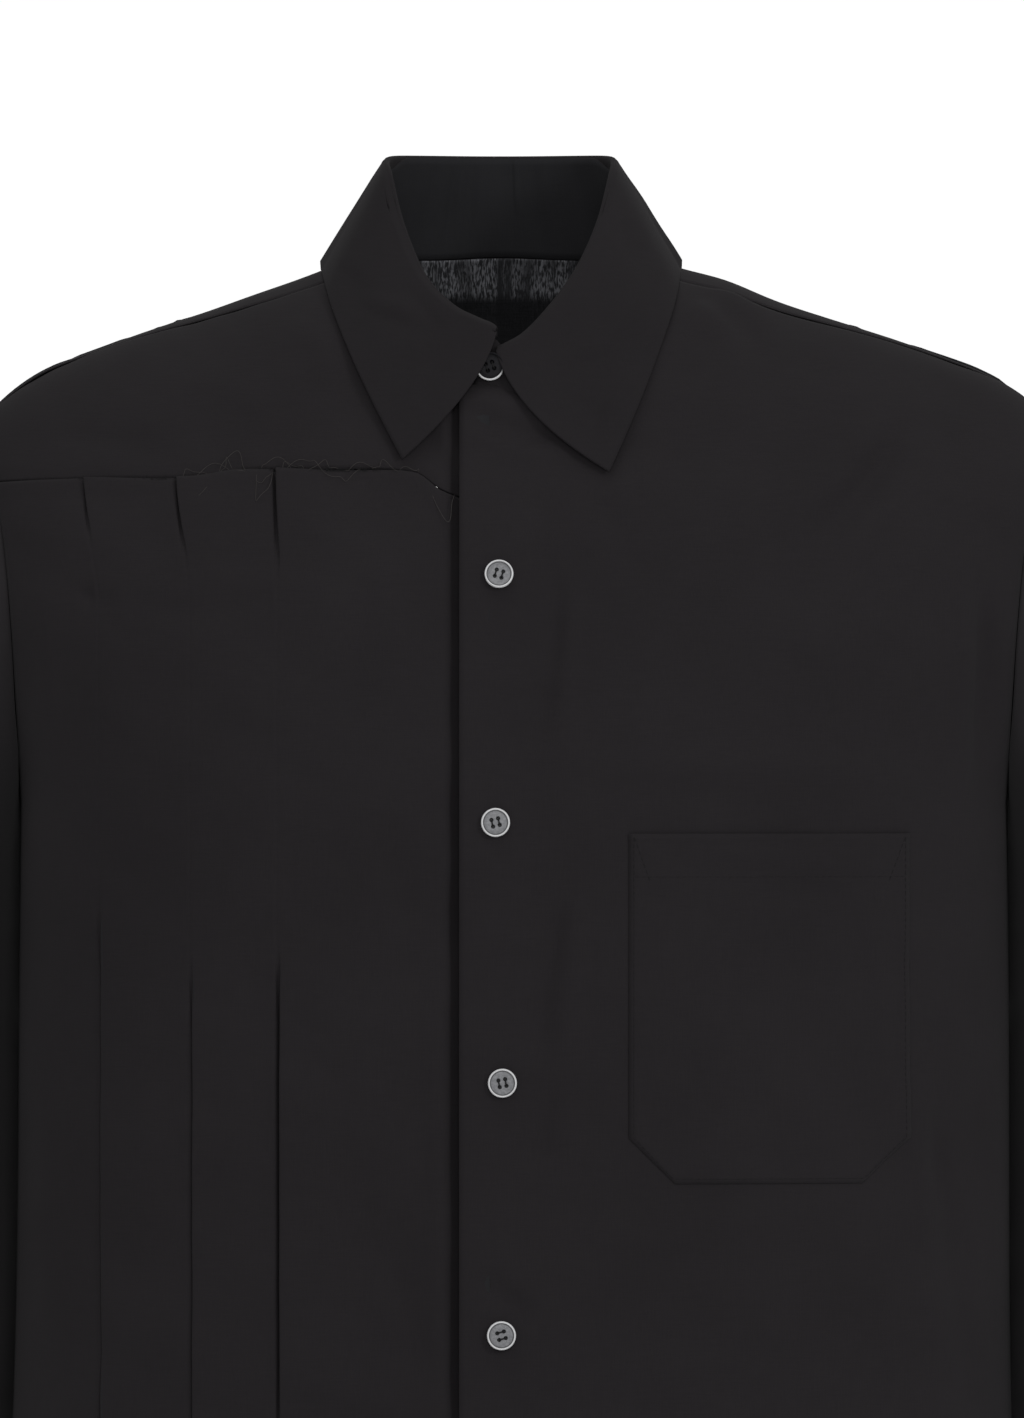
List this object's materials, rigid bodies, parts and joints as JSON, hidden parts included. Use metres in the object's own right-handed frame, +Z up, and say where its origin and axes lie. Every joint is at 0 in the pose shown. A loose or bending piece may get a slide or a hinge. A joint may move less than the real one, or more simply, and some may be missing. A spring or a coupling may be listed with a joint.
{
  "type": "shirt dress",
  "caption": "Long-sleeved button-front shirt dress in plain dark cloth, filled out as worn, with a turned-down collar, raw tucked chest panel and patch pocket.",
  "frame": {"origin": "midway between the two points where the shoulder line meets the neck, where a wearer or stand holds the dress up", "axes": "+Z up towards the collar, the front faces -Y, and the wearer's left side is on +X"},
  "size_m": [0.5791, 0.2744, 1.1039],
  "materials": {
    "black_cotton": "matte plain weave",
    "stiffened_cotton": "matte plain weave, interlined",
    "button_grey": "satin"
  },
  "bodies": {
    "root": {"left_front": "black_cotton", "right_front_upper": "black_cotton", "right_front_tucked": "black_cotton", "back_yoke": "black_cotton", "back": "black_cotton", "left_sleeve": "black_cotton", "left_sleeve_binding": "black_cotton", "left_cuff": "stiffened_cotton", "right_sleeve": "black_cotton", "right_sleeve_binding": "black_cotton", "right_cuff": "stiffened_cotton", "collar_stand": "stiffened_cotton", "collar": "stiffened_cotton", "chest_pocket": "black_cotton", "front_button_1": "button_grey", "front_button_2": "button_grey", "front_button_3": "button_grey", "front_button_4": "button_grey", "front_button_5": "button_grey", "front_button_6": "button_grey", "front_button_7": "button_grey", "front_button_8": "button_grey", "neck_button": "button_grey", "left_cuff_button": "button_grey", "right_cuff_button": "button_grey"}
  },
  "joints": []
}
